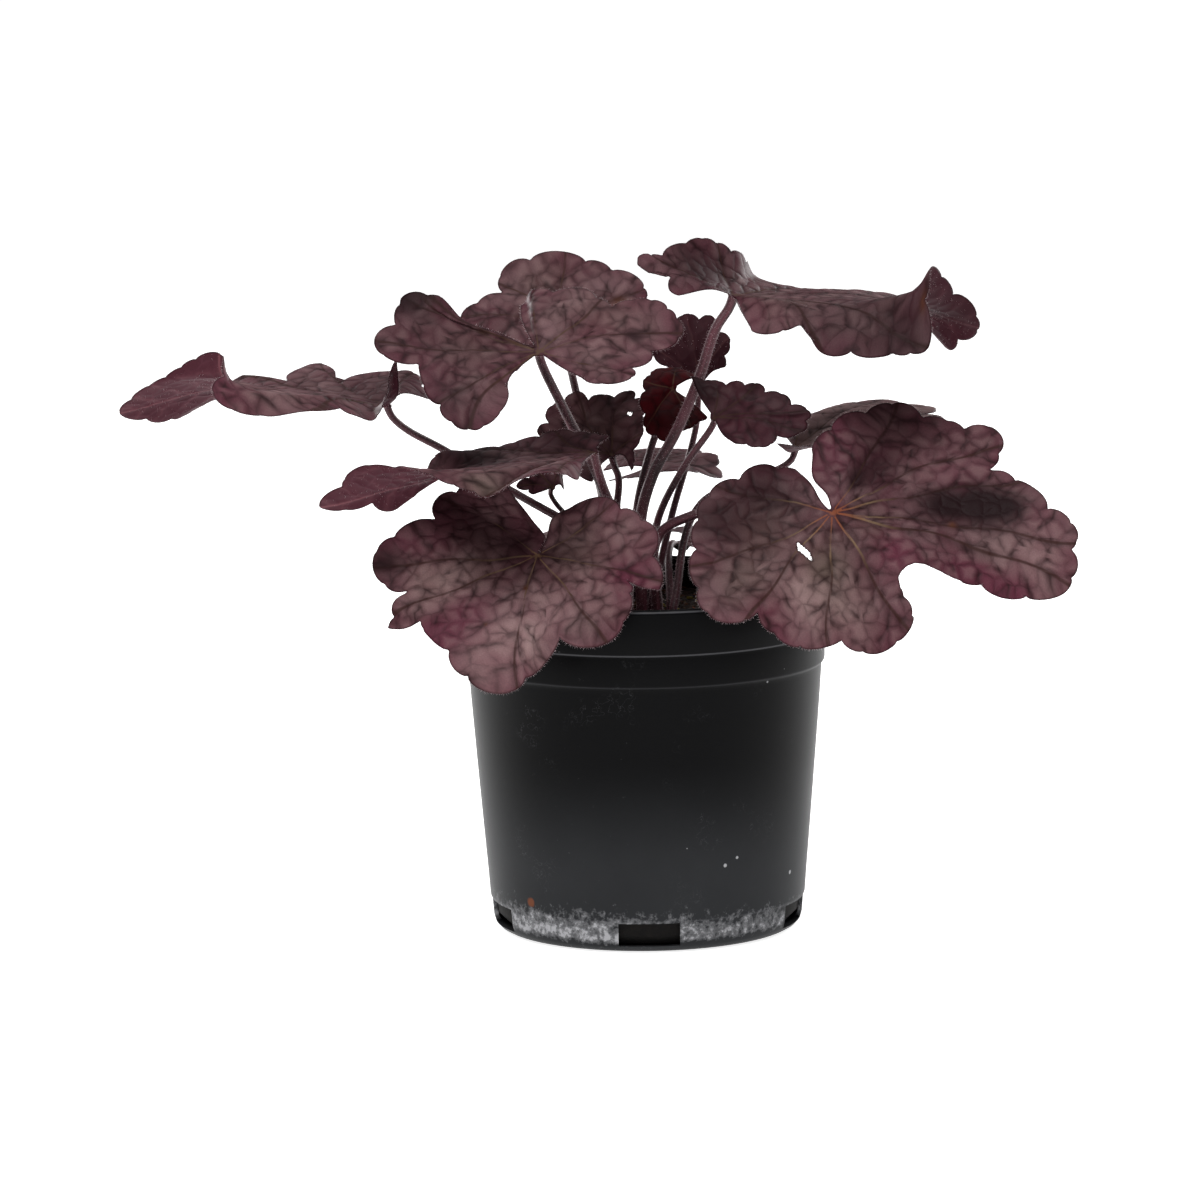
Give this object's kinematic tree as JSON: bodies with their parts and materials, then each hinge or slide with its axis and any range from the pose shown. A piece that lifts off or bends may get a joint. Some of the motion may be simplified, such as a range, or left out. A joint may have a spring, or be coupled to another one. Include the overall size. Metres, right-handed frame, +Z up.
{
  "type": "heuchera in a nursery pot",
  "caption": "Clump of purple-bronze lobed heuchera leaves on thin hairy stalks, rising from soil in a round black plastic nursery pot with drainage notches at its foot.",
  "frame": {"origin": "centre of the pot's base, on the plane that it stands on", "axes": "+Z up along the pot's axis; -Y towards the picture's viewer; +X to that viewer's right, along the foliage's widest spread"},
  "size_m": [0.4325, 0.2135, 0.3139],
  "materials": {
    "pot_plastic": "satin",
    "potting_soil": "matte",
    "crown_bark": "matte",
    "purple_leaf": "satin"
  },
  "bodies": {
    "root": {"pot": "pot_plastic", "soil": "potting_soil", "crown": "crown_bark", "leaf_front_left": "purple_leaf", "leaf_front_right": "purple_leaf", "leaf_high_left": "purple_leaf", "leaf_high_back": "purple_leaf", "leaf_high_right": "purple_leaf", "leaf_far_left": "purple_leaf", "leaf_left_middle": "purple_leaf", "leaf_centre_back": "purple_leaf", "leaf_centre_right": "purple_leaf", "leaf_centre_red": "purple_leaf", "leaf_upper_back": "purple_leaf", "leaf_right_back": "purple_leaf", "leaf_far_back": "purple_leaf", "leaf_young_left": "purple_leaf", "leaf_low_right_back": "purple_leaf", "leaf_low_left_back": "purple_leaf"}
  },
  "joints": []
}
